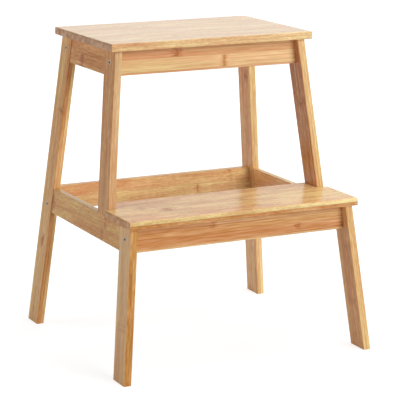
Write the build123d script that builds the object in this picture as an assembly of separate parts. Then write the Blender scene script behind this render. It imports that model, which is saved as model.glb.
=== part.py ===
"""A rigid two-step bamboo stool: two splayed side frames, four cross rails, a step board and a top board.

The front faces -Y, +X is on the right as seen from the front, +Z is up, and the floor is Z = 0.
Each side frame is flat and leans inwards. Its pieces are drawn in the frame's own plane, where the first
coordinate is Y and the second runs up the frame, and are cut level where they meet the floor or a board.
"""
from build123d import *
from math import cos, radians, sin, sqrt, tan
import os

# Overall sizes
STOOL_HEIGHT = 490.0
STEP_HEIGHT = 243.0
FLOOR_WIDTH = 424.0
FLOOR_DEPTH = 398.0
STEP_GOING = 85.5

# Angles in degrees: both side frames lean inwards, the front legs lean back, the rear legs lean forwards
SPLAY = 6.0
FRONT_LEAN = 6.0
REAR_LEAN = 6.0

# Stock
BOARD_THICKNESS = 12.0
LEG_WIDTH = 40.0
LEG_THICKNESS = 12.0
SIDE_RAIL_WIDTH = 40.0
SIDE_RAIL_THICKNESS = 10.0
CROSS_RAIL_HEIGHT = 40.0
CROSS_RAIL_THICKNESS = 12.0
BOARD_ROUND = 1.5
FRAME_ROUND = 1.0

# How far the boards stand past the legs, and the play round the upper front legs
TOP_OVERHANG = 9.0
STEP_FRONT_OVERHANG = 9.0
STEP_SIDE_OVERHANG = 5.0
NOTCH_PLAY = 0.3

# Hex socket screws that hold the cross rails, one at each rail end
FRAME_SCREW_DIAMETER = 5.0
FRAME_SCREW_LENGTH = 45.0
FRAME_SCREW_HEAD = 7.5
STEP_REAR_SCREW_DROP = 10.0

# Screws that hold the boards from below, through the rails
BOARD_SCREW_DIAMETER = 4.0
BOARD_SCREW_HEAD = 7.0
BOARD_SCREW_COVER = 3.0
BOARD_SCREW_SETBACK = 25.0

# Both kinds of screw
SOCKET_FLATS = 3.0
SOCKET_DEPTH = 2.2
HEAD_SINK = 0.2
HEAD_EDGE = 0.4

# Glued dowels
DOWEL_DIAMETER = 6.0
DOWEL_CHAMFER = 0.8
SIDE_DOWEL_SPACING = 20.0
SIDE_DOWEL_RAIL_DEPTH = 16.0
UPPER_DOWEL_SPACING = 18.0
UPPER_DOWEL_DEPTH = 16.0
CROSS_DOWEL_RISE = 11.0
CROSS_DOWEL_RAIL_DEPTH = 18.0
CROSS_DOWEL_LEG_WALL = 4.0

# Room round every screw and dowel, and the wood left between a dowel's end and what crosses the leg there
HOLE_CLEARANCE = 0.1
DOWEL_END_PLAY = 0.5
DOWEL_END_WALL = 3.0

# Levels, how deep a board screw bites, and the plane of the right side frame on its outer face
TOP_UNDERSIDE = STOOL_HEIGHT - BOARD_THICKNESS
STEP_UNDERSIDE = STEP_HEIGHT - BOARD_THICKNESS
BOARD_SCREW_BITE = BOARD_THICKNESS - BOARD_SCREW_COVER
SPLAY_SIN = sin(radians(SPLAY))
SPLAY_COS = cos(radians(SPLAY))
SPLAY_TAN = tan(radians(SPLAY))
FRAME = Plane(origin=(FLOOR_WIDTH / 2, 0, 0), x_dir=(0, 1, 0), z_dir=(SPLAY_COS, 0, SPLAY_SIN))
REACH = 2 * (STOOL_HEIGHT + FLOOR_WIDTH + FLOOR_DEPTH)
RAIL_INSET = (LEG_THICKNESS - SIDE_RAIL_THICKNESS) / 2
FRAME_MIDDLE = LEG_THICKNESS / 2

# Where each leg's front edge meets the floor line of the frame, and its slope in the frame
FRONT_SLOPE = tan(radians(FRONT_LEAN))
REAR_SLOPE = -tan(radians(REAR_LEAN))
FRONT_SPAN = LEG_WIDTH / cos(radians(FRONT_LEAN))
REAR_SPAN = LEG_WIDTH / cos(radians(REAR_LEAN))
LOWER_FRONT = -FLOOR_DEPTH / 2
UPPER_FRONT = LOWER_FRONT + STEP_GOING
REAR_FRONT = FLOOR_DEPTH / 2 - REAR_SPAN


def up_frame(level, depth=0.0):
    """The distance up the frame of a world height, at a depth below the frame's outer face."""
    return (level + depth * SPLAY_SIN) / SPLAY_COS


def outer_x(level):
    """The frame's outer face at a height."""
    return FLOOR_WIDTH / 2 - level * SPLAY_TAN


def inner_x(level):
    """The legs' inner face at a height."""
    return outer_x(level) - LEG_THICKNESS / SPLAY_COS


def front_leg_y(foot, level, depth=0.0):
    """The front edge of a front leg at a height."""
    return foot + FRONT_SLOPE * up_frame(level, depth)


def rear_leg_y(level, depth=0.0):
    """The front edge of the rear leg at a height."""
    return REAR_FRONT + REAR_SLOPE * up_frame(level, depth)


def keep_between(solid, low, high):
    """Cut a piece level at two heights."""
    slab = Box(REACH, REACH, high - low, align=(Align.CENTER, Align.CENTER, Align.MIN))
    return solid & Pos(0, 0, low) * slab


def soften(solid, size, count):
    """Round the longest edges of a bar."""
    edges = solid.edges().sort_by(SortBy.LENGTH)[-count:]
    return fillet(edges, size)


def in_frame(points, inset, thickness):
    """A flat piece of the right side frame, from its outline in the frame."""
    face = make_face(Polyline(*points, close=True))
    return FRAME.location * (Pos(0, 0, -inset) * extrude(face, -thickness))


def leg(foot, slope, span, low, high):
    """A leg of the right frame: a softened bar, cut level at both ends."""
    past = LEG_WIDTH
    bottom = up_frame(low) - past
    top = up_frame(high) + past
    outline = [
        (foot + slope * bottom, bottom),
        (foot + slope * bottom + span, bottom),
        (foot + slope * top + span, top),
        (foot + slope * top, top),
    ]
    bar = soften(in_frame(outline, 0, LEG_THICKNESS), FRAME_ROUND, 4)
    return keep_between(bar, low, high)


def side_rail(front_foot, high):
    """A rail of the right frame, between the back of a front leg and the front of the rear leg."""
    past = SIDE_RAIL_WIDTH
    bottom = up_frame(high) - SIDE_RAIL_WIDTH
    top = up_frame(high) + past
    front = front_foot + FRONT_SPAN
    outline = [
        (front + FRONT_SLOPE * bottom, bottom),
        (REAR_FRONT + REAR_SLOPE * bottom, bottom),
        (REAR_FRONT + REAR_SLOPE * top, top),
        (front + FRONT_SLOPE * top, top),
    ]
    bar = keep_between(in_frame(outline, RAIL_INSET, SIDE_RAIL_THICKNESS), 0, high)
    return soften(bar, FRAME_ROUND, 4)


def cross_rail(middle_y, high):
    """A rail along X between the two frames, with its ends cut to the lean of the legs."""
    section = Plane.YZ * RectangleRounded(CROSS_RAIL_THICKNESS, CROSS_RAIL_HEIGHT, FRAME_ROUND)
    bar = Pos(0, middle_y, high - CROSS_RAIL_HEIGHT / 2) * extrude(section, FLOOR_WIDTH / 2, both=True)
    low = high - 2 * CROSS_RAIL_HEIGHT
    corners = [(-inner_x(low), low), (inner_x(low), low), (inner_x(high), high), (-inner_x(high), high)]
    between = make_face(Polyline(*corners, close=True))
    return bar & extrude(Plane.XZ * between, REACH, both=True)


def board(corners, underside):
    """A board from its outline, rounded on every edge but the corners of a notch."""
    outline = make_face(Polyline(*corners, close=True))
    slab = Pos(0, 0, underside) * extrude(outline, BOARD_THICKNESS)
    rims = slab.faces().sort_by(Axis.Z)
    return fillet(rims[0].edges() + rims[-1].edges(), BOARD_ROUND)


def turned(profile):
    """A round piece about Z from its half outline of (radius, height)."""
    return revolve(make_face(Polyline(*[(r, 0, z) for r, z in profile], close=True)), Axis.Z)


def screw_profile(diameter, head, length, room, rise):
    """Half outline of a countersunk screw, or of its hole when it has room; the head's face is at 0."""
    shank = diameter / 2 + room
    rim = head / 2 + room
    neck = -HEAD_EDGE - (head - diameter) / 2
    return [
        (0, rise), (rim, rise), (rim, -HEAD_EDGE), (shank, neck),
        (shank, diameter / 2 - length - room), (0, -length - room),
    ]


def screw(diameter, head, length):
    """A countersunk screw that points down -Z, with a hex socket."""
    body = turned(screw_profile(diameter, head, length, 0, 0))
    socket = extrude(RegularPolygon(SOCKET_FLATS / sqrt(3), 6), -SOCKET_DEPTH)
    return body - socket


def screw_hole(diameter, head, length):
    """The hole for such a screw, open above the head."""
    return turned(screw_profile(diameter, head, length, HOLE_CLEARANCE, head))


def rod(radius, low, high):
    """A plain round bar along Z between two heights."""
    return Pos(0, 0, (low + high) / 2) * Cylinder(radius, high - low)


def dowel(low, high):
    """A chamfered dowel along Z between two heights."""
    return chamfer(rod(DOWEL_DIAMETER / 2, low, high).edges(), DOWEL_CHAMFER)


def dowel_hole(low, high):
    """The hole for such a dowel, a little longer at both ends."""
    return rod(DOWEL_DIAMETER / 2 + HOLE_CLEARANCE, low - DOWEL_END_PLAY, high + DOWEL_END_PLAY)


def other_side(solid):
    """The same piece on the left."""
    return mirror(solid, about=Plane.YZ)


def in_frame_axis(y, up, toward):
    """A place on the middle of the right frame, with Z along a direction of the frame's own plane."""
    across = (0, 0, 1)
    return FRAME.location * Plane(origin=(y, up, -FRAME_MIDDLE), x_dir=across, z_dir=toward).location


# The five pieces of the right side frame
right = {
    "rear_leg": leg(REAR_FRONT, REAR_SLOPE, REAR_SPAN, 0, TOP_UNDERSIDE),
    "upper_front_leg": leg(UPPER_FRONT, FRONT_SLOPE, FRONT_SPAN, STEP_UNDERSIDE, TOP_UNDERSIDE),
    "lower_front_leg": leg(LOWER_FRONT, FRONT_SLOPE, FRONT_SPAN, 0, STEP_UNDERSIDE),
    "top_side_rail": side_rail(UPPER_FRONT, TOP_UNDERSIDE),
    "step_side_rail": side_rail(LOWER_FRONT, STEP_UNDERSIDE),
}

# The four cross rails, each centred on its legs at the rail's middle height
TOP_RAIL_MIDDLE = TOP_UNDERSIDE - CROSS_RAIL_HEIGHT / 2
STEP_RAIL_MIDDLE = STEP_UNDERSIDE - CROSS_RAIL_HEIGHT / 2
TOP_FRONT_Y = front_leg_y(UPPER_FRONT, TOP_RAIL_MIDDLE, LEG_THICKNESS) + FRONT_SPAN / 2
TOP_REAR_Y = rear_leg_y(TOP_RAIL_MIDDLE, LEG_THICKNESS) + REAR_SPAN / 2
STEP_FRONT_Y = front_leg_y(LOWER_FRONT, STEP_RAIL_MIDDLE, LEG_THICKNESS) + FRONT_SPAN / 2
STEP_REAR_Y = rear_leg_y(STEP_RAIL_MIDDLE, LEG_THICKNESS) + REAR_SPAN / 2
middle = {
    "top_front_rail": cross_rail(TOP_FRONT_Y, TOP_UNDERSIDE),
    "top_rear_rail": cross_rail(TOP_REAR_Y, TOP_UNDERSIDE),
    "step_front_rail": cross_rail(STEP_FRONT_Y, STEP_UNDERSIDE),
    "step_rear_rail": cross_rail(STEP_REAR_Y, STEP_UNDERSIDE),
}

# The top board stands past the frame all round
TOP_SIDE = outer_x(TOP_UNDERSIDE) + TOP_OVERHANG
TOP_FRONT = front_leg_y(UPPER_FRONT, TOP_UNDERSIDE) - TOP_OVERHANG
TOP_BACK = rear_leg_y(TOP_UNDERSIDE) + REAR_SPAN + TOP_OVERHANG
top_corners = [(-TOP_SIDE, TOP_FRONT), (TOP_SIDE, TOP_FRONT), (TOP_SIDE, TOP_BACK), (-TOP_SIDE, TOP_BACK)]
middle["top_board"] = board(top_corners, TOP_UNDERSIDE)

# The step board is notched at its back corners and runs back between the upper front legs
STEP_SIDE = outer_x(STEP_UNDERSIDE) + STEP_SIDE_OVERHANG
STEP_FRONT = front_leg_y(LOWER_FRONT, STEP_UNDERSIDE) - STEP_FRONT_OVERHANG
WING_BACK = front_leg_y(UPPER_FRONT, STEP_UNDERSIDE) - NOTCH_PLAY
TONGUE_SIDE = inner_x(STEP_HEIGHT) - NOTCH_PLAY
TONGUE_BACK = front_leg_y(UPPER_FRONT, STEP_HEIGHT) + FRONT_SPAN
right_corners = [
    (STEP_SIDE, STEP_FRONT),
    (STEP_SIDE, WING_BACK),
    (TONGUE_SIDE, WING_BACK),
    (TONGUE_SIDE, TONGUE_BACK),
]
left_corners = [(-x, y) for x, y in reversed(right_corners)]
middle["step_board"] = board(right_corners + left_corners, STEP_UNDERSIDE)

# Fasteners of the right side, and of the middle, by node; every hole is cut from the pieces that it names
right_names = ("frame_screws", "side_rail_dowels", "upper_leg_dowels", "cross_rail_dowels")
right_fasteners = {name: [] for name in right_names}
middle_fasteners = {"top_board_screws": [], "step_board_screws": []}

# Screws and dowels through the legs' inner faces into the ends of the cross rails
screw_size = (FRAME_SCREW_DIAMETER, FRAME_SCREW_HEAD, FRAME_SCREW_LENGTH)
dowel_leg_depth = LEG_THICKNESS - CROSS_DOWEL_LEG_WALL
rail_ends = [
    ("top_front_rail", "upper_front_leg", TOP_FRONT_Y, TOP_RAIL_MIDDLE, 0),
    ("top_rear_rail", "rear_leg", TOP_REAR_Y, TOP_RAIL_MIDDLE, 0),
    ("step_front_rail", "lower_front_leg", STEP_FRONT_Y, STEP_RAIL_MIDDLE, 0),
    ("step_rear_rail", "rear_leg", STEP_REAR_Y, STEP_RAIL_MIDDLE, STEP_REAR_SCREW_DROP),
]
for rail, leg_name, y, level, drop in rail_ends:
    screw_at = FRAME.location * Pos(y, up_frame(level - drop, LEG_THICKNESS), -HEAD_SINK)
    right_fasteners["frame_screws"].append(screw_at * screw(*screw_size))
    dowel_at = FRAME.location * Pos(y, up_frame(level + CROSS_DOWEL_RISE, LEG_THICKNESS), -LEG_THICKNESS)
    ends = (DOWEL_END_PLAY - CROSS_DOWEL_RAIL_DEPTH, dowel_leg_depth - DOWEL_END_PLAY)
    right_fasteners["cross_rail_dowels"].append(dowel_at * dowel(*ends))
    holes = [screw_at * screw_hole(*screw_size), dowel_at * dowel_hole(*ends)]
    right[leg_name] -= holes
    middle[rail] -= holes + [other_side(hole) for hole in holes]

# Two dowels at each end of each side rail, reaching into the leg as far as the holes in its middle allow
leg_room = max(FRAME_SCREW_DIAMETER, DOWEL_DIAMETER) / 2 + HOLE_CLEARANCE + DOWEL_END_PLAY + DOWEL_END_WALL
side_joints = [
    ("top_side_rail", "upper_front_leg", UPPER_FRONT, TOP_UNDERSIDE),
    ("step_side_rail", "lower_front_leg", LOWER_FRONT, STEP_UNDERSIDE),
]
for rail, front_leg, foot, high in side_joints:
    middle_up = up_frame(high) - SIDE_RAIL_WIDTH / 2
    for up in (middle_up - SIDE_DOWEL_SPACING / 2, middle_up + SIDE_DOWEL_SPACING / 2):
        front_joint = in_frame_axis(foot + FRONT_SLOPE * up + FRONT_SPAN, up, (1, 0, 0))
        rear_joint = in_frame_axis(REAR_FRONT + REAR_SLOPE * up, up, (-1, 0, 0))
        joints = [(front_joint, front_leg, FRONT_SPAN), (rear_joint, "rear_leg", REAR_SPAN)]
        for place, leg_name, span in joints:
            ends = (leg_room - span / 2, SIDE_DOWEL_RAIL_DEPTH)
            right_fasteners["side_rail_dowels"].append(place * dowel(*ends))
            hole = place * dowel_hole(*ends)
            right[rail] -= hole
            right[leg_name] -= hole

# Two dowels under each upper front leg, down into the step side rail that it stands on
foot_up = up_frame(STEP_UNDERSIDE, FRAME_MIDDLE)
foot_middle = UPPER_FRONT + FRONT_SLOPE * foot_up + FRONT_SPAN / 2
for y in (foot_middle - UPPER_DOWEL_SPACING / 2, foot_middle + UPPER_DOWEL_SPACING / 2):
    place = in_frame_axis(y, foot_up, (0, 1, 0))
    ends = (-UPPER_DOWEL_DEPTH, UPPER_DOWEL_DEPTH)
    right_fasteners["upper_leg_dowels"].append(place * dowel(*ends))
    hole = place * dowel_hole(*ends)
    right["step_side_rail"] -= hole
    right["upper_front_leg"] -= hole

# Board screws straight up through the cross rails, set back from the tips of the frame screws
long_size = (BOARD_SCREW_DIAMETER, BOARD_SCREW_HEAD, CROSS_RAIL_HEIGHT - HEAD_SINK + BOARD_SCREW_BITE)
upright = Rot(180, 0, 0)
cross_places = [
    ("top_board", "top_front_rail", TOP_FRONT_Y, TOP_UNDERSIDE),
    ("top_board", "top_rear_rail", TOP_REAR_Y, TOP_UNDERSIDE),
    ("step_board", "step_front_rail", STEP_FRONT_Y, STEP_UNDERSIDE),
]
for board_name, rail, y, high in cross_places:
    reach = outer_x(high) - FRAME_SCREW_LENGTH - BOARD_SCREW_SETBACK
    for x in (-reach, reach):
        place = Pos(x, y, high - CROSS_RAIL_HEIGHT + HEAD_SINK) * upright
        middle_fasteners[board_name + "_screws"].append(place * screw(*long_size))
        hole = place * screw_hole(*long_size)
        middle[rail] -= hole
        middle[board_name] -= hole

# Board screws up the step side rails, halfway between the front dowels' ends and the upper front legs
wing_bottom = up_frame(STEP_UNDERSIDE) - SIDE_RAIL_WIDTH
wing_start = LOWER_FRONT + FRONT_SPAN + SIDE_DOWEL_RAIL_DEPTH
wing_y = (wing_start + UPPER_FRONT) / 2 + FRONT_SLOPE * up_frame(STEP_UNDERSIDE)
side_rise = up_frame(STEP_UNDERSIDE, FRAME_MIDDLE) - wing_bottom
side_size = (BOARD_SCREW_DIAMETER, BOARD_SCREW_HEAD, side_rise - HEAD_SINK + BOARD_SCREW_BITE)
place = in_frame_axis(wing_y, wing_bottom + HEAD_SINK, (0, -1, 0))
side_screw = place * screw(*side_size)
side_hole = place * screw_hole(*side_size)
middle_fasteners["step_board_screws"] += [side_screw, other_side(side_screw)]
right["step_side_rail"] -= side_hole
middle["step_board"] -= [side_hole, other_side(side_hole)]

# Every node, with the left side as the mirror of the right
nodes = dict(middle)
for name, solid in right.items():
    nodes["right_" + name] = solid
    nodes["left_" + name] = other_side(solid)
for name, solids in right_fasteners.items():
    nodes["right_" + name] = Compound(children=solids)
    nodes["left_" + name] = Compound(children=[other_side(solid) for solid in solids])
for name, solids in middle_fasteners.items():
    nodes[name] = Compound(children=solids)

os.makedirs("parts", exist_ok=True)
for name, shape in nodes.items():
    export_step(shape, f"parts/{name}.step")
    print(name, "solids", len(shape.solids()))
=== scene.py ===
# %% [markdown]
# A rigid two-step stool of laminated bamboo. The solids arrive finished from the CAD frame, each piece in
# its own node, so the work here is the finish of every surface, the light and the camera. No piece is
# modelled a second time, because the solids already have its form. The frame is loaded first.

# %% Load the stool
import math

import bmesh
import bpy
from mathutils import Matrix, Vector


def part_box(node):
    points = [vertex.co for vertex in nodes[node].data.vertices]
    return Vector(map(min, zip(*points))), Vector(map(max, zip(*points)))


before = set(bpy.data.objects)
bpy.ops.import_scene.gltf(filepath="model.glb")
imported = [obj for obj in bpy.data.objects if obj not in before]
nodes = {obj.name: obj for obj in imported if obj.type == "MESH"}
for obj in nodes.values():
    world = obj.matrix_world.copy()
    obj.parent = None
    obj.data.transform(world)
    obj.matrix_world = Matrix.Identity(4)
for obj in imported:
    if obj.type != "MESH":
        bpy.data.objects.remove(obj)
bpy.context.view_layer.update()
scene = bpy.context.scene

# %% [markdown]
# The camera stands to the left of the stool's front, a little above the top board, and far away with a long
# lens, so the legs hardly converge. Its place could be three coordinates. It is given as an angle round the
# stool, an angle above the floor and a distance from a point near the stool's middle, which is easier to
# read and to change.

# %% Camera
CAMERA_AZIMUTH = math.radians(-26.02)
CAMERA_ELEVATION = math.radians(12.81)
CAMERA_DISTANCE = 2.84
CAMERA_TARGET = Vector((0.0008, -0.019, 0.225))
CAMERA_LENS = 161.2
CAMERA_SENSOR = 36.0

toward_camera = Vector((
    math.sin(CAMERA_AZIMUTH) * math.cos(CAMERA_ELEVATION),
    -math.cos(CAMERA_AZIMUTH) * math.cos(CAMERA_ELEVATION),
    math.sin(CAMERA_ELEVATION),
))
camera_data = bpy.data.cameras.new("camera")
camera_data.lens = CAMERA_LENS
camera_data.sensor_width = CAMERA_SENSOR
camera = bpy.data.objects.new("camera", camera_data)
camera.location = CAMERA_TARGET + CAMERA_DISTANCE * toward_camera
camera.rotation_euler = (math.pi / 2 - CAMERA_ELEVATION, 0.0, CAMERA_AZIMUTH)
scene.collection.objects.link(camera)
scene.camera = camera
scene.view_settings.view_transform = "Standard"
print("camera at", [round(value, 3) for value in camera.location])

# %% [markdown]
# Every finish below is a small network of shader nodes. In the editor each node would be dragged in and
# wired by hand. A few helpers keep the networks short here: one adds a node and fills its inputs with
# numbers or links, the others do arithmetic, soft steps, stretched patterns and groups.

# %% Helpers for shader nodes
NOISE_ROUGHNESS = 0.55
NOISE_SPREAD = (0.25, 0.75)


def add_node(tree, kind, fill=None, **settings):
    """Add a node, set its properties, and fill its inputs with values or links."""
    node = tree.nodes.new(kind)
    for name, value in settings.items():
        setattr(node, name, value)
    for key, value in (fill or {}).items():
        if isinstance(value, bpy.types.NodeSocket):
            tree.links.new(value, node.inputs[key])
        else:
            node.inputs[key].default_value = value
    return node


def calc(tree, operation, first, second=0.0, clamp=False):
    """One step of arithmetic on values."""
    fill = {0: first, 1: second}
    return add_node(tree, "ShaderNodeMath", fill, operation=operation, use_clamp=clamp).outputs[0]


def soft_step(tree, value, start, end, low=0.0, high=1.0):
    """A smooth step from low, where the value is at start, to high, where it is at end."""
    fill = {"Value": value, "From Min": start, "From Max": end, "To Min": low, "To Max": high}
    return add_node(tree, "ShaderNodeMapRange", fill, interpolation_type="SMOOTHSTEP").outputs["Result"]


def stretched(tree, place, cycles):
    """A place scaled in each direction, in cycles per metre, which stretches a pattern along the grain."""
    fill = {0: place, 1: cycles}
    return add_node(tree, "ShaderNodeVectorMath", fill, operation="MULTIPLY").outputs[0]


def noise(tree, place, detail=2.0):
    """A cloudy value, spread over 0 to 1."""
    fill = {"Vector": place, "Scale": 1.0, "Detail": detail, "Roughness": NOISE_ROUGHNESS}
    cloudy = add_node(tree, "ShaderNodeTexNoise", fill).outputs["Fac"]
    return soft_step(tree, cloudy, *NOISE_SPREAD)


def blend_colour(tree, share, first, second, blend="MIX"):
    """A colour between two, by a share, or the first one multiplied by the second."""
    fill = {0: share, 6: first, 7: second}
    return add_node(tree, "ShaderNodeMix", fill, data_type="RGBA", blend_type=blend).outputs[2]


def split(tree, place):
    """The three parts of a place."""
    return add_node(tree, "ShaderNodeSeparateXYZ", {0: place}).outputs


def new_group(name, takes, gives):
    """A shader node group with its sockets, and its input and output ends."""
    group = bpy.data.node_groups.new(name, "ShaderNodeTree")
    for label, kind in takes.items():
        group.interface.new_socket(label, in_out="INPUT", socket_type="NodeSocket" + kind)
    for label, kind in gives.items():
        group.interface.new_socket(label, in_out="OUTPUT", socket_type="NodeSocket" + kind)
    start = group.nodes.new("NodeGroupInput").outputs
    end = group.nodes.new("NodeGroupOutput").inputs
    return group, start, end


def use_group(tree, group, fill):
    """Place a group in a tree, and give back its outputs."""
    return add_node(tree, "ShaderNodeGroup", fill, node_tree=group).outputs


print("node helpers ready")

# %% [markdown]
# The stool stands on a plain white floor in an even white room. The floor is one large flat sheet. A white
# paint alone would render grey wherever the lamps are weak, so for the camera, and by a share in
# reflections, the floor also glows. The glow is a little weaker near the stool than far from it, and only
# the soft shadow at the feet shows. As light thrown back onto the stool, the floor is a plain pale grey.

# %% Floor
FLOOR_HALF = 15.0
FLOOR_BOUNCE = (0.75, 0.74, 0.73, 1.0)
FLOOR_SEEN = (0.36, 0.36, 0.36, 1.0)
GLOW_NEAR = 0.78
GLOW_FAR = 0.95
GLOW_REACH = 1.2
FLOOR_MIRRORED = 0.45


def seen_white(tree, mirrored):
    """1 for what is seen directly or through glass, a share when mirrored, 0 as light on the stool."""
    path = add_node(tree, "ShaderNodeLightPath").outputs
    straight = calc(tree, "MAXIMUM", path["Is Camera Ray"], path["Is Transmission Ray"])
    return calc(tree, "MAXIMUM", straight, calc(tree, "MULTIPLY", path["Is Glossy Ray"], mirrored))


floor_form = bmesh.new()
bmesh.ops.create_grid(floor_form, x_segments=1, y_segments=1, size=FLOOR_HALF)
floor_mesh = bpy.data.meshes.new("floor")
floor_form.to_mesh(floor_mesh)
floor_form.free()
floor = bpy.data.objects.new("floor", floor_mesh)
scene.collection.objects.link(floor)

floor_paint = bpy.data.materials.new("floor_paint")
floor_paint.use_nodes = True
tree = floor_paint.node_tree
tree.nodes.clear()
bounce = add_node(tree, "ShaderNodeBsdfDiffuse", {"Color": FLOOR_BOUNCE}).outputs[0]
paint = add_node(tree, "ShaderNodeBsdfDiffuse", {"Color": FLOOR_SEEN}).outputs[0]
floor_place = add_node(tree, "ShaderNodeTexCoord").outputs["Object"]
away = add_node(tree, "ShaderNodeVectorMath", {0: floor_place}, operation="LENGTH").outputs["Value"]
glow_strength = soft_step(tree, away, 0.0, GLOW_REACH, GLOW_NEAR, GLOW_FAR)
glow = add_node(tree, "ShaderNodeEmission", {"Strength": glow_strength}).outputs[0]
lifted = add_node(tree, "ShaderNodeAddShader", {0: paint, 1: glow}).outputs[0]
white_share = seen_white(tree, FLOOR_MIRRORED)
floor_look = add_node(tree, "ShaderNodeMixShader", {0: white_share, 1: bounce, 2: lifted}).outputs[0]
add_node(tree, "ShaderNodeOutputMaterial", {"Surface": floor_look})
floor.data.materials.append(floor_paint)
print("floor", 2 * FLOOR_HALF, "m square")

# %% [markdown]
# The light is a studio's. The key comes from the front, a little from the right and from above. It is a sun
# lamp with a very wide disc, so it is as soft as a large window and lights the whole floor evenly. A panel
# on the left, a little behind, fills the left faces. A weak one behind lights the rear, and one overhead
# lights the level faces. Lamps mirrored in the lacquer could give the boards their pale sheen, but as bright
# patches, so only the left one is mirrored, and the sheen is the white room itself, seen at a low angle. As
# light, the room is dim, which leaves shade under the boards.

# %% Room and lamps
ROOM_FILL = 0.15
ROOM_MIRRORED = 1.0
WHITE = (1.0, 1.0, 1.0, 1.0)
SUN_DISC = math.radians(40)
SUN_DISTANCE = 4.0
PANEL_DISTANCE = 2.6

room = bpy.data.worlds.new("room")
room.use_nodes = True
scene.world = room
tree = room.node_tree
tree.nodes.clear()
room_strength = soft_step(tree, seen_white(tree, ROOM_MIRRORED), 0.0, 1.0, ROOM_FILL, 1.0)
room_light = add_node(tree, "ShaderNodeBackground", {"Color": WHITE, "Strength": room_strength}).outputs[0]
add_node(tree, "ShaderNodeOutputWorld", {"Surface": room_light})


def hang_lamp(name, kind, toward, distance, energy, mirrored=False):
    """A lamp that hangs in a direction, faces the stool, and may be mirrored in the lacquer."""
    lamp = bpy.data.objects.new(name, bpy.data.lights.new(name, kind))
    away = Vector(toward).normalized()
    lamp.location = CAMERA_TARGET + distance * away
    lamp.rotation_euler = away.to_track_quat("Z", "Y").to_euler()
    lamp.data.energy = energy
    lamp.visible_glossy = mirrored
    scene.collection.objects.link(lamp)
    return lamp


def hang_panel(name, toward, energy, size, mirrored=False):
    """A square panel of light."""
    panel = hang_lamp(name, "AREA", toward, PANEL_DISTANCE, energy, mirrored)
    panel.data.size = size


key_lamp = hang_lamp("key_lamp", "SUN", toward=(0.33, -0.90, 0.34), distance=SUN_DISTANCE, energy=2.50)
key_lamp.data.angle = SUN_DISC
hang_panel("left_lamp", toward=(-0.85, 0.45, 0.30), energy=22.0, size=1.6, mirrored=True)
hang_panel("back_lamp", toward=(0.43, 0.88, 0.30), energy=9.0, size=2.0)
hang_panel("overhead_lamp", toward=(0.40, 0.0, 0.92), energy=27.0, size=1.8)

# %% [markdown]
# Laminated bamboo is planed strips, about as wide as a thumb, glued edge to edge and in two layers. The wide
# faces show the strips side by side and the narrow rims show the layers, so the two have their own tones.
# Each strip could be a mesh of its own, but the bars are planed flush, so this group only finds the strip
# and the layer that a point lies in. It gives them a tone and a cast of yellow or rose, and gives the fibres
# another starting point in each, so that they stop at the joint. It also lets the tone change along the
# piece as painted light and shade: paler towards the end where more light falls, darker where shade falls.
# A fine dark line marks the glue between strips, between layers, and where a jointed piece ends.

# %% Bamboo strips
GLUE_LINE = 0.0006
FIBRE_JUMP = (7.0, 7.0, 7.0)
CAST_PER_STRIP = 2.0
CAST_PER_LAYER = 0.8

strips, take, give = new_group(
    "bamboo_strips",
    {"Place": "Vector", "Rim": "Float", "Wide Tone": "Float", "Rim Tone": "Float", "Strip Width": "Float",
     "Contrast": "Float", "Strip Split": "Float", "Layer Split": "Float", "Seed": "Float", "Joint": "Float",
     "Strip Shift": "Float", "Wide Cast": "Float", "Rim Cast": "Float", "Wide Warmth": "Float",
     "Rim Warmth": "Float", "Run": "Vector", "Wide Light Fall": "Float", "Rim Light Fall": "Float",
     "Wide Figure": "Float", "Rim Figure": "Float"},
    {"Tone": "Float", "Cast": "Float", "Warmth": "Float", "Figure": "Float", "Fibre Place": "Vector",
     "Glue": "Float"},
)
link = strips.links.new


def wide_or_rim(wide, rim):
    """One value on the wide faces and another on the rims."""
    return add_node(strips, "ShaderNodeMix", {0: take["Rim"], 2: wide, 3: rim}).outputs[0]


part = split(strips, take["Place"])
lane = calc(strips, "ADD", calc(strips, "DIVIDE", part["Y"], take["Strip Width"]), take["Strip Shift"])
strip = calc(strips, "FLOOR", lane)
layer = calc(strips, "SIGN", part["Z"])
cell = add_node(strips, "ShaderNodeCombineXYZ", {"X": strip, "Y": layer, "Z": take["Seed"]}).outputs[0]
chance = add_node(strips, "ShaderNodeTexWhiteNoise", {"Vector": cell}).outputs
drawn = calc(strips, "MULTIPLY", calc(strips, "SUBTRACT", chance["Value"], 0.5), take["Contrast"])
odd = calc(strips, "MODULO", calc(strips, "ABSOLUTE", strip), 2.0)
turn = calc(strips, "SUBTRACT", 1.0, calc(strips, "MULTIPLY", odd, 2.0))
strip_tone = calc(strips, "ADD", calc(strips, "MULTIPLY", turn, take["Strip Split"]), drawn)
layer_tone = calc(strips, "MULTIPLY", layer, take["Layer Split"])
strip_cast = calc(strips, "MULTIPLY", strip_tone, CAST_PER_STRIP)
layer_cast = calc(strips, "MULTIPLY", layer_tone, CAST_PER_LAYER)
# The falls paint light and shade along the piece, as a tone that rises from one end to the other.
light_fall = calc(strips, "MULTIPLY", part["X"], wide_or_rim(take["Wide Light Fall"], take["Rim Light Fall"]))
face_tone = calc(strips, "ADD", light_fall, wide_or_rim(take["Wide Tone"], take["Rim Tone"]))
face_cast = wide_or_rim(take["Wide Cast"], take["Rim Cast"])
link(calc(strips, "ADD", face_tone, wide_or_rim(strip_tone, layer_tone)), give["Tone"])
link(calc(strips, "SUBTRACT", face_cast, wide_or_rim(strip_cast, layer_cast)), give["Cast"])
link(wide_or_rim(take["Wide Warmth"], take["Rim Warmth"]), give["Warmth"])
link(wide_or_rim(take["Wide Figure"], take["Rim Figure"]), give["Figure"])
jump = stretched(strips, chance["Color"], FIBRE_JUMP)
run_place = stretched(strips, take["Place"], take["Run"])
link(add_node(strips, "ShaderNodeVectorMath", {0: run_place, 1: jump}).outputs[0], give["Fibre Place"])
share = calc(strips, "SUBTRACT", lane, strip)
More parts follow.
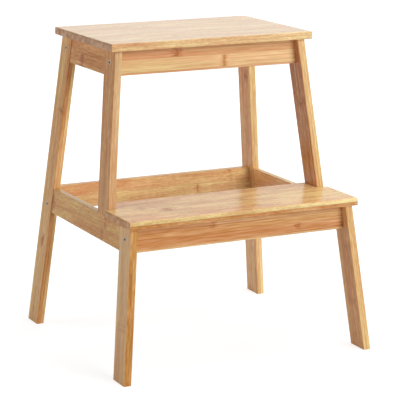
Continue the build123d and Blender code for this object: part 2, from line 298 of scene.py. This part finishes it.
nearest = calc(strips, "MINIMUM", share, calc(strips, "SUBTRACT", 1.0, share))
edge_gap = calc(strips, "MULTIPLY", nearest, take["Strip Width"])
lane_gap = wide_or_rim(edge_gap, calc(strips, "ABSOLUTE", part["Z"]))
joint_gap = calc(strips, "SUBTRACT", take["Joint"], calc(strips, "ABSOLUTE", part["X"]))
glue_gap = calc(strips, "MINIMUM", lane_gap, joint_gap)
link(soft_step(strips, glue_gap, 0.0, GLUE_LINE, 1.0, 0.0), give["Glue"])
print("group", strips.name)

# %% [markdown]
# Along a strip run straight fibres. A painted picture of them would need a seam somewhere, so stretched
# noises give them instead: hair-fine lines, streaks a few millimetres wide, short mottles, slow drifts of
# tone, and a rosy blush here and there. Short dark flecks are the vessels, cut open by the plane. All are
# far longer along the grain than across it, which makes the eye read bamboo instead of plain wood.

# %% Bamboo fibres
FIBRES = {
    "Fine": ((35, 800, 800), 3.0),
    "Streak": ((11, 420, 420), 2.0),
    "Mottle": ((70, 520, 520), 2.0),
    "Drift": ((5, 60, 60), 1.0),
    "Blush": ((10, 60, 60), 2.0),
}
VESSELS = (25, 900, 900)
VESSEL_DETAIL = 1.0
FLECK_STEP = (0.72, 0.95)

fibres, take, give = new_group(
    "bamboo_fibres",
    {"Place": "Vector"},
    {"Fine": "Float", "Streak": "Float", "Mottle": "Float", "Drift": "Float", "Blush": "Float",
     "Fleck": "Float"},
)
link = fibres.links.new
for label, (cycles, detail) in FIBRES.items():
    link(noise(fibres, stretched(fibres, take["Place"], cycles), detail), give[label])
vessels = noise(fibres, stretched(fibres, take["Place"], VESSELS), VESSEL_DETAIL)
link(soft_step(fibres, vessels, *FLECK_STEP), give["Fleck"])
print("group", fibres.name)

# %% [markdown]
# Where a leaf once grew, the cane has a knuckle. Planed flat, it shows as a soft brown ring straight across
# one strip, a dark core in a speckled band, with the fibres flaring on both sides of it, or as a small round
# eye. It could be painted on, but a rule is easier to move: the group measures how far a point is from the
# knuckle, along and across the piece, and each piece uses it as often as it has knuckles.

# %% Bamboo knuckles
FLARE_REACH = 4.5
CORE_HALF = 0.9
CORE_BREAKS = (0.2, 0.6, 0.3, 1.0)
BAND_START = 0.2
BAND_REACH = 1.9
BAND_WEIGHT = 0.6
BAND_SPECKS = (0.2, 0.8, 0.4, 1.0)
EYE_OUTLINE = 0.4
STRIP_EDGE = (0.85, 1.05)
KNUCKLE_WOBBLE = (40, 130, 130)
KNUCKLE_SPECKLE = (260, 420, 420)

knuckle, take, give = new_group(
    "bamboo_knuckle",
    {"Place": "Vector", "Along": "Float", "Across": "Float", "Half Width": "Float", "Ring": "Float",
     "Round": "Float", "Weight": "Float"},
    {"Ring": "Float", "Flare": "Float"},
)
link = knuckle.links.new
part = split(knuckle, take["Place"])
wobble = noise(knuckle, stretched(knuckle, take["Place"], KNUCKLE_WOBBLE))
speckle = noise(knuckle, stretched(knuckle, take["Place"], KNUCKLE_SPECKLE))
wander = calc(knuckle, "MULTIPLY", calc(knuckle, "SUBTRACT", wobble, 0.5), take["Ring"])
off = calc(knuckle, "ADD", calc(knuckle, "SUBTRACT", part["X"], take["Along"]), wander)
off_share = calc(knuckle, "DIVIDE", off, take["Ring"])
aside = calc(knuckle, "SUBTRACT", part["Y"], take["Across"])
side_share = calc(knuckle, "DIVIDE", aside, take["Half Width"])
off_square = calc(knuckle, "MULTIPLY", off_share, off_share)
side_square = calc(knuckle, "MULTIPLY", side_share, side_share)
round_square = calc(knuckle, "MULTIPLY", side_square, take["Round"])
spread = calc(knuckle, "SQRT", calc(knuckle, "ADD", off_square, round_square))
in_strip = soft_step(knuckle, calc(knuckle, "ABSOLUTE", side_share), *STRIP_EDGE, 1.0, 0.0)
window = calc(knuckle, "MULTIPLY", in_strip, take["Weight"])
outline = calc(knuckle, "MULTIPLY", take["Round"], EYE_OUTLINE)
from_core = calc(knuckle, "ABSOLUTE", calc(knuckle, "SUBTRACT", spread, outline))
core = soft_step(knuckle, from_core, 0.0, CORE_HALF, 1.0, 0.0)
core = calc(knuckle, "MULTIPLY", core, soft_step(knuckle, wobble, *CORE_BREAKS))
band = soft_step(knuckle, spread, BAND_START, BAND_REACH, BAND_WEIGHT, 0.0)
band = calc(knuckle, "MULTIPLY", band, soft_step(knuckle, speckle, *BAND_SPECKS))
flare = soft_step(knuckle, spread, 0.0, FLARE_REACH, 1.0, 0.0)
link(calc(knuckle, "MULTIPLY", calc(knuckle, "MAXIMUM", core, band), window), give["Ring"])
link(calc(knuckle, "MULTIPLY", flare, window), give["Flare"])
print("group", knuckle.name)

# %% [markdown]
# A bar of laminated bamboo looks different on its wide faces, on its narrow rims and at its ends, where the
# cut fibres drink more lacquer and turn dark, with pores and blotches and a darker upper layer. Material
# slots could tell the faces apart, but the CAD meshes stay as they are. So the group compares the way a face
# looks with the direction of the grain and the way through the piece, and gives a mask for the ends and one
# for the rims.

# %% Faces of a piece
END_TURN = (0.55, 0.90)
WIDE_TURN = (0.45, 0.85)
END_PORES = (1, 260, 320)
END_BLOTCHES = (1, 90, 120)
BLOTCH_DETAIL = 1.0
BLOTCH_SHARE = 0.70
TOP_PLY_STEP = (0.0015, 0.0045)
TOP_PLY_SHADE = 0.25

faces, take, give = new_group(
    "faces_of_a_piece",
    {"Place": "Vector", "Grain": "Vector", "Through": "Vector"},
    {"End": "Float", "Rim": "Float", "Pores": "Float"},
)
link = faces.links.new
facing = add_node(faces, "ShaderNodeTexCoord").outputs["Normal"]


def turned(direction):
    """How far a face looks along a direction, from 0 to 1."""
    fill = {0: facing, 1: direction}
    cosine = add_node(faces, "ShaderNodeVectorMath", fill, operation="DOT_PRODUCT").outputs["Value"]
    return calc(faces, "ABSOLUTE", cosine)


link(soft_step(faces, turned(take["Grain"]), *END_TURN), give["End"])
link(soft_step(faces, turned(take["Through"]), *WIDE_TURN, 1.0, 0.0), give["Rim"])
pores = noise(faces, stretched(faces, take["Place"], END_PORES))
blotches = noise(faces, stretched(faces, take["Place"], END_BLOTCHES), BLOTCH_DETAIL)
clouds = add_node(faces, "ShaderNodeMix", {0: BLOTCH_SHARE, 2: pores, 3: blotches}).outputs[0]
up = split(faces, take["Place"])["Z"]
top_ply = soft_step(faces, up, *TOP_PLY_STEP, 0.0, TOP_PLY_SHADE)
link(calc(faces, "SUBTRACT", clouds, top_ply), give["Pores"])
print("group", faces.name)

# %% [markdown]
# One last group mixes everything into a colour, a roughness and a height. The tone picks a colour on a ramp
# from brown to cream, with a spare stretch at both ends, so that streaks in a dark or a pale piece aren't
# cut off. The fibres move the tone to both sides, more so in the flare of a knuckle. A plain mix of two
# browns would be simpler, but canes differ in hue as well as in tone, so two casts tint the colour, yellow
# to rose and ash to amber. Rings, glue lines and flecks darken it. The lacquer is satin: smooth enough that
# the step board mirrors the foot of a leg.

# %% Bamboo colour
BROWN = (0.40, 0.150, 0.035, 1.0)
RUSSET = (0.50, 0.210, 0.050, 1.0)
HONEY = (0.615, 0.300, 0.113, 1.0)
STRAW = (0.74, 0.450, 0.195, 1.0)
PALE = (0.92, 0.635, 0.300, 1.0)
CREAM = (1.00, 0.717, 0.346, 1.0)
TONES = ((0.0, RUSSET), (0.33, HONEY), (0.66, STRAW), (1.0, PALE))
RAMP_SPARE = 0.15
RAMP_LENGTH = 1.0 + 2 * RAMP_SPARE
YELLOW_CAST = (0.935, 1.06, 0.965, 1.0)
ROSY_CAST = (1.065, 0.93, 1.015, 1.0)
AMBER = (1.08, 1.00, 0.78, 1.0)
ASH = (0.92, 1.00, 1.22, 1.0)
RING_STAIN = (0.62, 0.42, 0.24, 1.0)
GLUE_BROWN = (0.38, 0.180, 0.070, 1.0)
GLUE_SHARE = 0.45
FLECK_SHARE = 0.28
END_DARK = (0.30, 0.115, 0.018, 1.0)
END_LIGHT = (0.70, 0.400, 0.210, 1.0)
STREAK_SWING = 0.34
FINE_SWING = 0.30
MOTTLE_SWING = 0.32
FLARE_SWING = 0.30
DRIFT_SWING = 0.36
CAST_BLUSH = 0.4
CAST_STREAK = -0.25
CAST_DRIFT = -0.25
CAST_FLARE = 0.15
LACQUER_ROUGHNESS = 0.20
ROUGHNESS_SWING = 0.08
END_ROUGHNESS = 0.25
GLUE_DIP = 0.8
RING_DIP = 0.4
FINE_RISE = 0.35

colour, take, give = new_group(
    "bamboo_colour",
    {"Tone": "Float", "Cast": "Float", "Fine": "Float", "Streak": "Float", "Mottle": "Float",
     "Drift": "Float", "Blush": "Float", "Fleck": "Float", "Glue": "Float", "Ring": "Float", "Flare": "Float",
     "End": "Float", "Pores": "Float", "End Tone": "Float", "Warmth": "Float", "Figure": "Float"},
    {"Color": "Color", "Roughness": "Float", "Height": "Float"},
)
link = colour.links.new


def swing(value, reach):
    """A value round a half, as a swing to both sides of zero."""
    return calc(colour, "MULTIPLY", calc(colour, "SUBTRACT", value, 0.5), reach)


def part_of(label, share):
    """A share of one of the group's inputs."""
    return calc(colour, "MULTIPLY", take[label], share)


flare_reach = soft_step(colour, take["Flare"], 0.0, 1.0, MOTTLE_SWING, MOTTLE_SWING + FLARE_SWING)
lines = calc(colour, "ADD", swing(take["Streak"], STREAK_SWING), swing(take["Fine"], FINE_SWING))
patches = calc(colour, "ADD", swing(take["Mottle"], flare_reach), swing(take["Drift"], DRIFT_SWING))
figure = calc(colour, "MULTIPLY", calc(colour, "ADD", lines, patches), take["Figure"])
tone = calc(colour, "ADD", take["Tone"], figure)
ramp_place = calc(colour, "DIVIDE", calc(colour, "ADD", tone, RAMP_SPARE), RAMP_LENGTH)
ramp = add_node(colour, "ShaderNodeValToRGB", {0: ramp_place})
ramp.color_ramp.elements[0].color = BROWN
ramp.color_ramp.elements[1].color = CREAM
for level, shade in TONES:
    ramp.color_ramp.elements.new((level + RAMP_SPARE) / RAMP_LENGTH).color = shade
wander = calc(colour, "ADD", swing(take["Streak"], CAST_STREAK), swing(take["Drift"], CAST_DRIFT))
wander = calc(colour, "ADD", wander, swing(take["Blush"], CAST_BLUSH))
wander = calc(colour, "ADD", wander, part_of("Flare", CAST_FLARE))
rosy = calc(colour, "ADD", take["Cast"], wander, clamp=True)
cast = blend_colour(colour, rosy, YELLOW_CAST, ROSY_CAST)
grain = blend_colour(colour, 1.0, ramp.outputs[0], cast, "MULTIPLY")
grain = blend_colour(colour, part_of("Fleck", FLECK_SHARE), grain, RUSSET)
grain = blend_colour(colour, part_of("Glue", GLUE_SHARE), grain, GLUE_BROWN)
amber_share = calc(colour, "MULTIPLY", calc(colour, "ADD", take["Warmth"], 1.0), 0.5)
warmth = blend_colour(colour, amber_share, ASH, AMBER)
grain = blend_colour(colour, 1.0, grain, warmth, "MULTIPLY")
grain = blend_colour(colour, take["Ring"], grain, RING_STAIN, "MULTIPLY")
end_share = calc(colour, "ADD", take["Pores"], take["End Tone"], clamp=True)
ends = blend_colour(colour, end_share, END_DARK, END_LIGHT)
link(blend_colour(colour, take["End"], grain, ends), give["Color"])
rough = calc(colour, "ADD", LACQUER_ROUGHNESS, swing(take["Streak"], ROUGHNESS_SWING))
link(calc(colour, "ADD", rough, part_of("End", END_ROUGHNESS)), give["Roughness"])
dips = calc(colour, "ADD", part_of("Glue", GLUE_DIP), part_of("Ring", RING_DIP))
link(calc(colour, "SUBTRACT", part_of("Fine", FINE_RISE), dips), give["Height"])
print("group", colour.name)

# %% [markdown]
# The pattern has to lie along each piece, and the legs lean two ways. Angles could be typed in by hand, but
# they would go wrong as soon as the stool's lean changes, so each piece is measured in the frame. Its grain
# runs from the middle of one end to the middle of the other, and its wide face is the one with the largest
# triangle. A Mapping node then turns the stool's coordinates into the piece's own: along, across, through.

# %% Measure a piece
END_SHARE = 0.02


def piece_axes(name):
    """A piece's middle, its directions along the grain, across and through, and half its length."""
    mesh = nodes[name].data
    points = [vertex.co for vertex in mesh.vertices]
    low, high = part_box(name)
    size = high - low
    longest = max(range(3), key=lambda axis: size[axis])
    reach = END_SHARE * size[longest]
    first = [point for point in points if point[longest] < low[longest] + reach]
    last = [point for point in points if point[longest] > high[longest] - reach]
    start = sum(first, Vector()) / len(first)
    end = sum(last, Vector()) / len(last)
    grain = (end - start).normalized()
    through = max(mesh.polygons, key=lambda polygon: polygon.area).normal.copy()
    main = max(range(3), key=lambda axis: abs(through[axis]))
    wanted = -1 if main == 1 else 1
    if through[main] * wanted < 0:
        through.negate()
    through = (through - through.dot(grain) * grain).normalized()
    return (start + end) / 2, grain, through.cross(grain), through, (end - start).length / 2


for name in ("top_board", "left_rear_leg", "left_step_side_rail"):
    middle, grain, across, through, half = piece_axes(name)
    print(name, "grain", [round(value, 3) for value in grain])
    print(name, "through", [round(value, 3) for value in through])

# %% [markdown]
# Now each piece gets its own material from the same groups. One material for all would be shorter, but on a
# real stool every bar is cut from other canes. The numbers say how pale the piece is on its wide faces and on
# its rims, how its strips and layers differ, how much painted light and shade change along it, how lively and
# how long its grain is, how much it shines, and where its knuckles sit, in millimetres from its middle.
# Numbers in pairs are for the wide faces and for the rims.

# %% Bamboo material
BAR_WIDTH = 0.040
BUMP_DEPTH = 0.000012
BUMP_STRENGTH = 0.5
LACQUER_SHINE = 0.18
STRIP_HALF = 10.0
FAR_OFF = 10.0


def ring_mark(along, across, ring=4.0, weight=0.8, half=STRIP_HALF, eye=False):
    """A knuckle at a place in millimetres: its half length along the grain, its weight and its half width."""
    return {"Along": along / 1000, "Across": across / 1000, "Ring": ring / 1000, "Half Width": half / 1000,
            "Weight": weight, "Round": float(eye)}


# Its falls paint light and shade along the piece: paler towards the better lit end, darker towards a shaded
# end.
def bamboo(name, seed, tones, casts=(0.5, 0.5), warmths=(0.0, 0.0), light_falls=(0.0, 0.0), figures=(1.0, 1.0),
           lanes=2, contrast=0.0, strip_split=0.0, layer_split=0.0, run=1.0, jointed=False,
           shine=LACQUER_SHINE, end_tone=0.0, knuckles=()):
    """Lacquered bamboo that follows the piece's own grain."""
    middle, grain, across, through, half = piece_axes(name)
    turn = Matrix((grain, across, through)).transposed().to_euler()
    material = bpy.data.materials.new("bamboo_" + name)
    material.use_nodes = True
    tree = material.node_tree
    shader = tree.nodes["Principled BSDF"]
    shader.inputs["Specular IOR Level"].default_value = shine
    stool_place = add_node(tree, "ShaderNodeTexCoord").outputs["Object"]
    fill = {"Vector": stool_place, "Location": middle, "Rotation": turn}
    place = add_node(tree, "ShaderNodeMapping", fill, vector_type="TEXTURE").outputs[0]
    sides = use_group(tree, faces, {"Place": place, "Grain": grain, "Through": through})
    strip = use_group(tree, strips, {
        "Place": place, "Rim": sides["Rim"], "Wide Tone": tones[0], "Rim Tone": tones[1],
        "Strip Width": BAR_WIDTH / lanes, "Strip Shift": lanes % 2 / 2, "Contrast": contrast,
        "Strip Split": strip_split, "Layer Split": layer_split, "Seed": float(seed),
        "Joint": half if jointed else FAR_OFF, "Wide Cast": casts[0], "Rim Cast": casts[1],
        "Wide Warmth": warmths[0], "Rim Warmth": warmths[1], "Run": (run, 1.0, 1.0),
        "Wide Light Fall": light_falls[0] / half, "Rim Light Fall": light_falls[1] / half,
        "Wide Figure": figures[0], "Rim Figure": figures[1]})
    lines = use_group(tree, fibres, {"Place": strip["Fibre Place"]})
    ring, flare = 0.0, 0.0
    for mark in knuckles:
        marked = use_group(tree, knuckle, {"Place": place, **mark})
        ring = calc(tree, "MAXIMUM", marked["Ring"], ring)
        flare = calc(tree, "MAXIMUM", marked["Flare"], flare)
    mixed = use_group(tree, colour, {
        "Tone": strip["Tone"], "Cast": strip["Cast"], "Glue": strip["Glue"], "Fine": lines["Fine"],
        "Streak": lines["Streak"], "Mottle": lines["Mottle"], "Drift": lines["Drift"],
        "Blush": lines["Blush"], "Fleck": lines["Fleck"], "Ring": ring, "Flare": flare,
        "End": sides["End"], "Pores": sides["Pores"], "End Tone": end_tone, "Warmth": strip["Warmth"],
        "Figure": strip["Figure"]})
    fill = {"Height": mixed["Height"], "Distance": BUMP_DEPTH, "Strength": BUMP_STRENGTH}
    bump = add_node(tree, "ShaderNodeBump", fill)
    tree.links.new(mixed["Color"], shader.inputs["Base Color"])
    tree.links.new(mixed["Roughness"], shader.inputs["Roughness"])
    tree.links.new(bump.outputs[0], shader.inputs["Normal"])
    nodes[name].data.materials.clear()
    nodes[name].data.materials.append(material)


print("bar strips", round(1000 * BAR_WIDTH / 2), "mm wide")

# %% [markdown]
# The two boards are many strips wide, so the tones of their strips are drawn by chance from a seed, where a
# bar's two or three strips are given one by one. The top board has more shine than the rest, and the step
# board has the most knuckles.

# %% Boards
bamboo("top_board", 1, (0.84, 0.67), casts=(0.45, 0.45), warmths=(0.05, -0.3), light_falls=(0.0, 0.07),
       contrast=0.20, layer_split=-0.06, run=2.0, shine=0.72, end_tone=-0.19,
       knuckles=[ring_mark(-38, 50, 10, 0.3), ring_mark(-45, -70, 10, 0.3)])
# On the step board's front rim, the pale upper layer is partly the ply's own tone and partly a painted
# highlight along the rounded top edge.
bamboo("step_board", 2, (0.79, 0.51), casts=(0.60, 0.3), warmths=(0.35, -0.4), light_falls=(0.16, 0.24),
       figures=(1.25, 1.0), contrast=0.20, layer_split=0.30, run=2.4, end_tone=0.20,
       knuckles=[ring_mark(-104, 10, 12, 1.3), ring_mark(-140, 32, 8, 0.7), ring_mark(29, -21, 8, 0.5),
                 ring_mark(27, 25, 9, 0.8)])
print("boards", nodes["top_board"].data.materials[0].name, nodes["step_board"].data.materials[0].name)

# %% [markdown]
# The four cross rails join the two side frames. One finish could serve them all, but they differ in tone and
# in where their knuckles sit, so each has its own numbers. The step's front rail shows three strips, the
# others two.

# %% Cross rails
bamboo("top_front_rail", 3, (0.65, 0.41), casts=(0.65, 0.5), warmths=(-0.5, 0.0), light_falls=(0.10, 0.0),
       figures=(0.70, 1.0), strip_split=-0.10, run=0.45, shine=0.30,
       knuckles=[ring_mark(-54, 10, 6, 1.4), ring_mark(28, -10, 5, 1.0)])
bamboo("top_rear_rail", 4, (0.50, 0.36), strip_split=0.06, knuckles=[ring_mark(70, 10)])
bamboo("step_front_rail", 5, (0.34, 0.26), casts=(0.65, 0.5), warmths=(-0.5, 0.0), light_falls=(0.03, 0.0),
       figures=(1.3, 1.0), lanes=3, strip_split=0.08, run=0.45,
       knuckles=[ring_mark(-47, 10, 5, 0.9), ring_mark(99, -10, 6, 0.8, half=7, eye=True)])
bamboo("step_rear_rail", 6, (0.61, 0.74), warmths=(-0.15, 0.0), light_falls=(0.05, 0.0), figures=(0.85, 1.0),
       strip_split=-0.05, run=1.8,
       knuckles=[ring_mark(139, 10), ring_mark(80, -10)])
print("cross rails", len([name for name in nodes if name.endswith(("front_rail", "rear_rail"))]))

# %% [markdown]
# The side frames are glued flat from legs and rails of the same stock. The rails and the upper legs end
# against another piece, and a thin glue line shows there. It could be a thin sheet of its own, but a line in
# the finish is enough, so these pieces are marked as jointed.

# %% Left side frame
bamboo("left_top_side_rail", 7, (0.28, 0.38), casts=(0.5, 0.4), warmths=(0.53, 0.0), figures=(1.3, 1.0),
       strip_split=0.02, jointed=True,
       knuckles=[ring_mark(19, 0, 6, 1.3, half=15)])
# On the left step side rail the mark at 137 mm is no knuckle: it paints the shade in the corner where the
# rail meets the rear leg.
bamboo("left_step_side_rail", 8, (0.34, 0.66), casts=(0.2, 0.2), warmths=(0.95, 0.2), light_falls=(-0.03, 0.0),
       figures=(1.15, 1.0), strip_split=0.03, run=1.8, jointed=True,
       knuckles=[ring_mark(-78, 10, 4, 1.0), ring_mark(-70, -10, 4, 1.0),
                 ring_mark(137, -10, 8, 1.4, half=20)])
bamboo("left_rear_leg", 9, (0.40, 0.535), casts=(0.3, 0.5), warmths=(0.5, 0.0), light_falls=(-0.10, 0.26),
       strip_split=-0.04, layer_split=0.19,
       knuckles=[ring_mark(125, 6, 7, 0.8, half=12), ring_mark(-98, 0, 8, 1.4, half=7, eye=True)])
bamboo("left_upper_front_leg", 10, (0.29, 0.57), casts=(0.5, 0.35), warmths=(0.15, -1.0), light_falls=(0.0, 0.05),
       figures=(1.15, 0.8), jointed=True,
       knuckles=[ring_mark(85, -6, 14, 0.3, half=14)])
bamboo("left_lower_front_leg", 11, (0.63, 0.00), casts=(0.55, 0.2), warmths=(-0.15, 0.1), light_falls=(0.0, 0.13),
       figures=(0.65, 1.3), layer_split=-0.06, shine=0.20,
       knuckles=[ring_mark(-38, 0, 3, 0.35, half=19), ring_mark(-30, 0, 2, 0.25, half=19)])
left_bars = [name for name in nodes if name.startswith("left") and name.endswith(("leg", "rail"))]
print("left frame", len(left_bars), "bars")

# %% [markdown]
# The right frame is the left one's mirror in form. Its finish could be a copy as well, but no two bars of
# bamboo are alike, so each piece has a seed and tones of its own, and the legs have knuckles.

# %% Right side frame
bamboo("right_top_side_rail", 12, (0.50, 0.38), strip_split=0.04, jointed=True)
bamboo("right_step_side_rail", 13, (0.62, 0.66), casts=(1.0, 0.1), warmths=(0.35, 0.3), strip_split=0.04,
       jointed=True)
bamboo("right_rear_leg", 14, (0.52, 0.69), casts=(0.85, 0.3), warmths=(-0.25, -0.3), light_falls=(-0.11, 0.0),
       figures=(1.0, 0.7), strip_split=0.03, layer_split=0.09,
       knuckles=[ring_mark(160, 7, 9, 1.1, half=8)])
bamboo("right_upper_front_leg", 15, (0.35, 0.65), casts=(0.85, 0.4), warmths=(-0.7, -0.25),
       light_falls=(0.10, 0.10), figures=(1.3, 0.85), layer_split=0.06, jointed=True,
       knuckles=[ring_mark(21, 4, 8, 0.9, half=12)])
bamboo("right_lower_front_leg", 16, (0.65, 0.66), casts=(0.9, 0.3), warmths=(0.0, -0.15), light_falls=(0.08, 0.0),
       figures=(1.0, 0.85), layer_split=0.03,
       knuckles=[ring_mark(50, 10, 6, 0.3, half=12), ring_mark(-42, -2, 8, 0.4, half=14)])
print("bamboo pieces", len([paint for paint in bpy.data.materials if paint.name.startswith("bamboo_")]))

# %% [markdown]
# The dowels are turned from plain beech and stay hidden in their holes. They could go without a finish, but a
# cutaway or an exploded view shows them: pale wood with short flecks along the dowel, and no lacquer.

# %% Dowels
BEECH = (0.74, 0.53, 0.34, 1.0)
BEECH_FLECK = (0.52, 0.31, 0.17, 1.0)
BEECH_STEP = (0.45, 0.90)
BEECH_ROUGHNESS = (0.60, 0.75)
ALONG_X = (120, 900, 900)
ALONG_Y = (900, 120, 900)
ALONG_Z = (900, 900, 120)


def beech(cycles):
    """Raw beech with flecks, stretched by cycles per metre along each axis."""
    material = bpy.data.materials.new("beech")
    material.use_nodes = True
    tree = material.node_tree
    shader = tree.nodes["Principled BSDF"]
    place = add_node(tree, "ShaderNodeTexCoord").outputs["Object"]
    flecks = soft_step(tree, noise(tree, stretched(tree, place, cycles)), *BEECH_STEP)
    shade = blend_colour(tree, flecks, BEECH, BEECH_FLECK)
    tree.links.new(shade, shader.inputs["Base Color"])
    tree.links.new(soft_step(tree, flecks, 0.0, 1.0, *BEECH_ROUGHNESS), shader.inputs["Roughness"])
    return material


for side in ("left", "right"):
    for kind, cycles in (("side_rail", ALONG_Y), ("upper_leg", ALONG_Z), ("cross_rail", ALONG_X)):
        dowels = nodes[f"{side}_{kind}_dowels"].data
        dowels.materials.clear()
        dowels.materials.append(beech(cycles))
print("dowel nodes", len([name for name in nodes if name.endswith("dowels")]))

# %% [markdown]
# The screws are zinc-plated steel with a hex socket. Zinc is a soft grey metal with a faint cloudy bloom, so
# its shade and roughness drift over the head. The narrow sockets lie in deep shade, which the lamps alone
# leave too pale at this size, so a small group paints that shade: it darkens what lies near a screw's axis
# and close below its head.
# The frame screws stand square to the legs, which lean, so the way through a leg is their direction. Each
# screw is found from the mesh: seen along that direction its points lie close together, so a point far from
# the known screws starts a new one.

# %% Screws
ZINC_LIGHT = (0.46, 0.43, 0.37, 1.0)
ZINC_DARK = (0.33, 0.305, 0.26, 1.0)
ZINC_BLOOM = (450, 450, 450)
BLOOM_DETAIL = 3.0
ZINC_ROUGHNESS = (0.50, 0.36)
# The black below is the painted shade inside each socket.
SOCKET_SHADE = (0.040, 0.036, 0.032, 1.0)
SOCKET_ROUGHNESS = 0.4
SOCKET_REACH = 0.0025
SOCKET_FADE = 0.0007
SOCKET_DEPTH = 0.0028
FLOOR_FADE = 0.0003
SCREW_APART = 0.010
HEAD_LAYER = 0.0002

socket, take, give = new_group(
    "painted_socket_shade",
    {"Place": "Vector", "Top": "Vector", "Axis": "Vector"},
    {"Painted Shade": "Float"},
)
fill = {0: take["Place"], 1: take["Top"]}
below = add_node(socket, "ShaderNodeVectorMath", fill, operation="SUBTRACT").outputs[0]
fill = {0: below, 1: take["Axis"]}
depth = add_node(socket, "ShaderNodeVectorMath", fill, operation="DOT_PRODUCT").outputs["Value"]
reach = add_node(socket, "ShaderNodeVectorMath", {0: below}, operation="LENGTH").outputs["Value"]
reach_square = calc(socket, "MULTIPLY", reach, reach)
aside_square = calc(socket, "SUBTRACT", reach_square, calc(socket, "MULTIPLY", depth, depth))
aside = calc(socket, "SQRT", calc(socket, "MAXIMUM", aside_square, 0.0))
near = soft_step(socket, aside, SOCKET_REACH - SOCKET_FADE, SOCKET_REACH, 1.0, 0.0)
shallow = soft_step(socket, depth, SOCKET_DEPTH, SOCKET_DEPTH + FLOOR_FADE, 1.0, 0.0)
socket.links.new(calc(socket, "MULTIPLY", near, shallow), give["Painted Shade"])


def screw_tops(name, axis):
    """The middle of each screw head in a node, found along the axis that points into the wood."""
    groups = []
    for vertex in nodes[name].data.vertices:
        point = vertex.co.copy()
        flat = point - point.dot(axis) * axis
        for group in groups:
            if (group[0] - flat).length < SCREW_APART:
                group[1].append(point)
                break
        else:
            groups.append((flat, [point]))
    tops = []
    for flat, points in groups:
        level = min(point.dot(axis) for point in points)
        rim = [point for point in points if point.dot(axis) < level + HEAD_LAYER]
        tops.append(sum(rim, Vector()) / len(rim))
    return tops


def zinc(name, axis):
    """Zinc-plated steel with painted shade in each head's socket, and the number of screws."""
    material = bpy.data.materials.new("zinc_" + name)
    material.use_nodes = True
    tree = material.node_tree
    shader = tree.nodes["Principled BSDF"]
    shader.inputs["Metallic"].default_value = 1.0
    place = add_node(tree, "ShaderNodeTexCoord").outputs["Object"]
    bloom = noise(tree, stretched(tree, place, ZINC_BLOOM), BLOOM_DETAIL)
    tops = screw_tops(name, axis)
    # dark gathers the painted shade of every socket in this node.
    dark = 0.0
    for top in tops:
        hole = use_group(tree, socket, {"Place": place, "Top": top, "Axis": axis})
        dark = calc(tree, "MAXIMUM", hole["Painted Shade"], dark)
    plated = blend_colour(tree, bloom, ZINC_DARK, ZINC_LIGHT)
    tree.links.new(blend_colour(tree, dark, plated, SOCKET_SHADE), shader.inputs["Base Color"])
    cloudy = soft_step(tree, bloom, 0.0, 1.0, *ZINC_ROUGHNESS)
    dull = calc(tree, "MULTIPLY", dark, SOCKET_ROUGHNESS)
    tree.links.new(calc(tree, "ADD", cloudy, dull), shader.inputs["Roughness"])
    nodes[name].data.materials.clear()
    nodes[name].data.materials.append(material)
    return len(tops)


INTO_LEFT_LEG = piece_axes("left_rear_leg")[3]
INTO_RIGHT_LEG = -piece_axes("right_rear_leg")[3]
UPWARDS = Vector((0, 0, 1))
print("left frame screws", zinc("left_frame_screws", INTO_LEFT_LEG))
print("right frame screws", zinc("right_frame_screws", INTO_RIGHT_LEG))
print("top board screws", zinc("top_board_screws", UPWARDS))
print("step board screws", zinc("step_board_screws", UPWARDS))
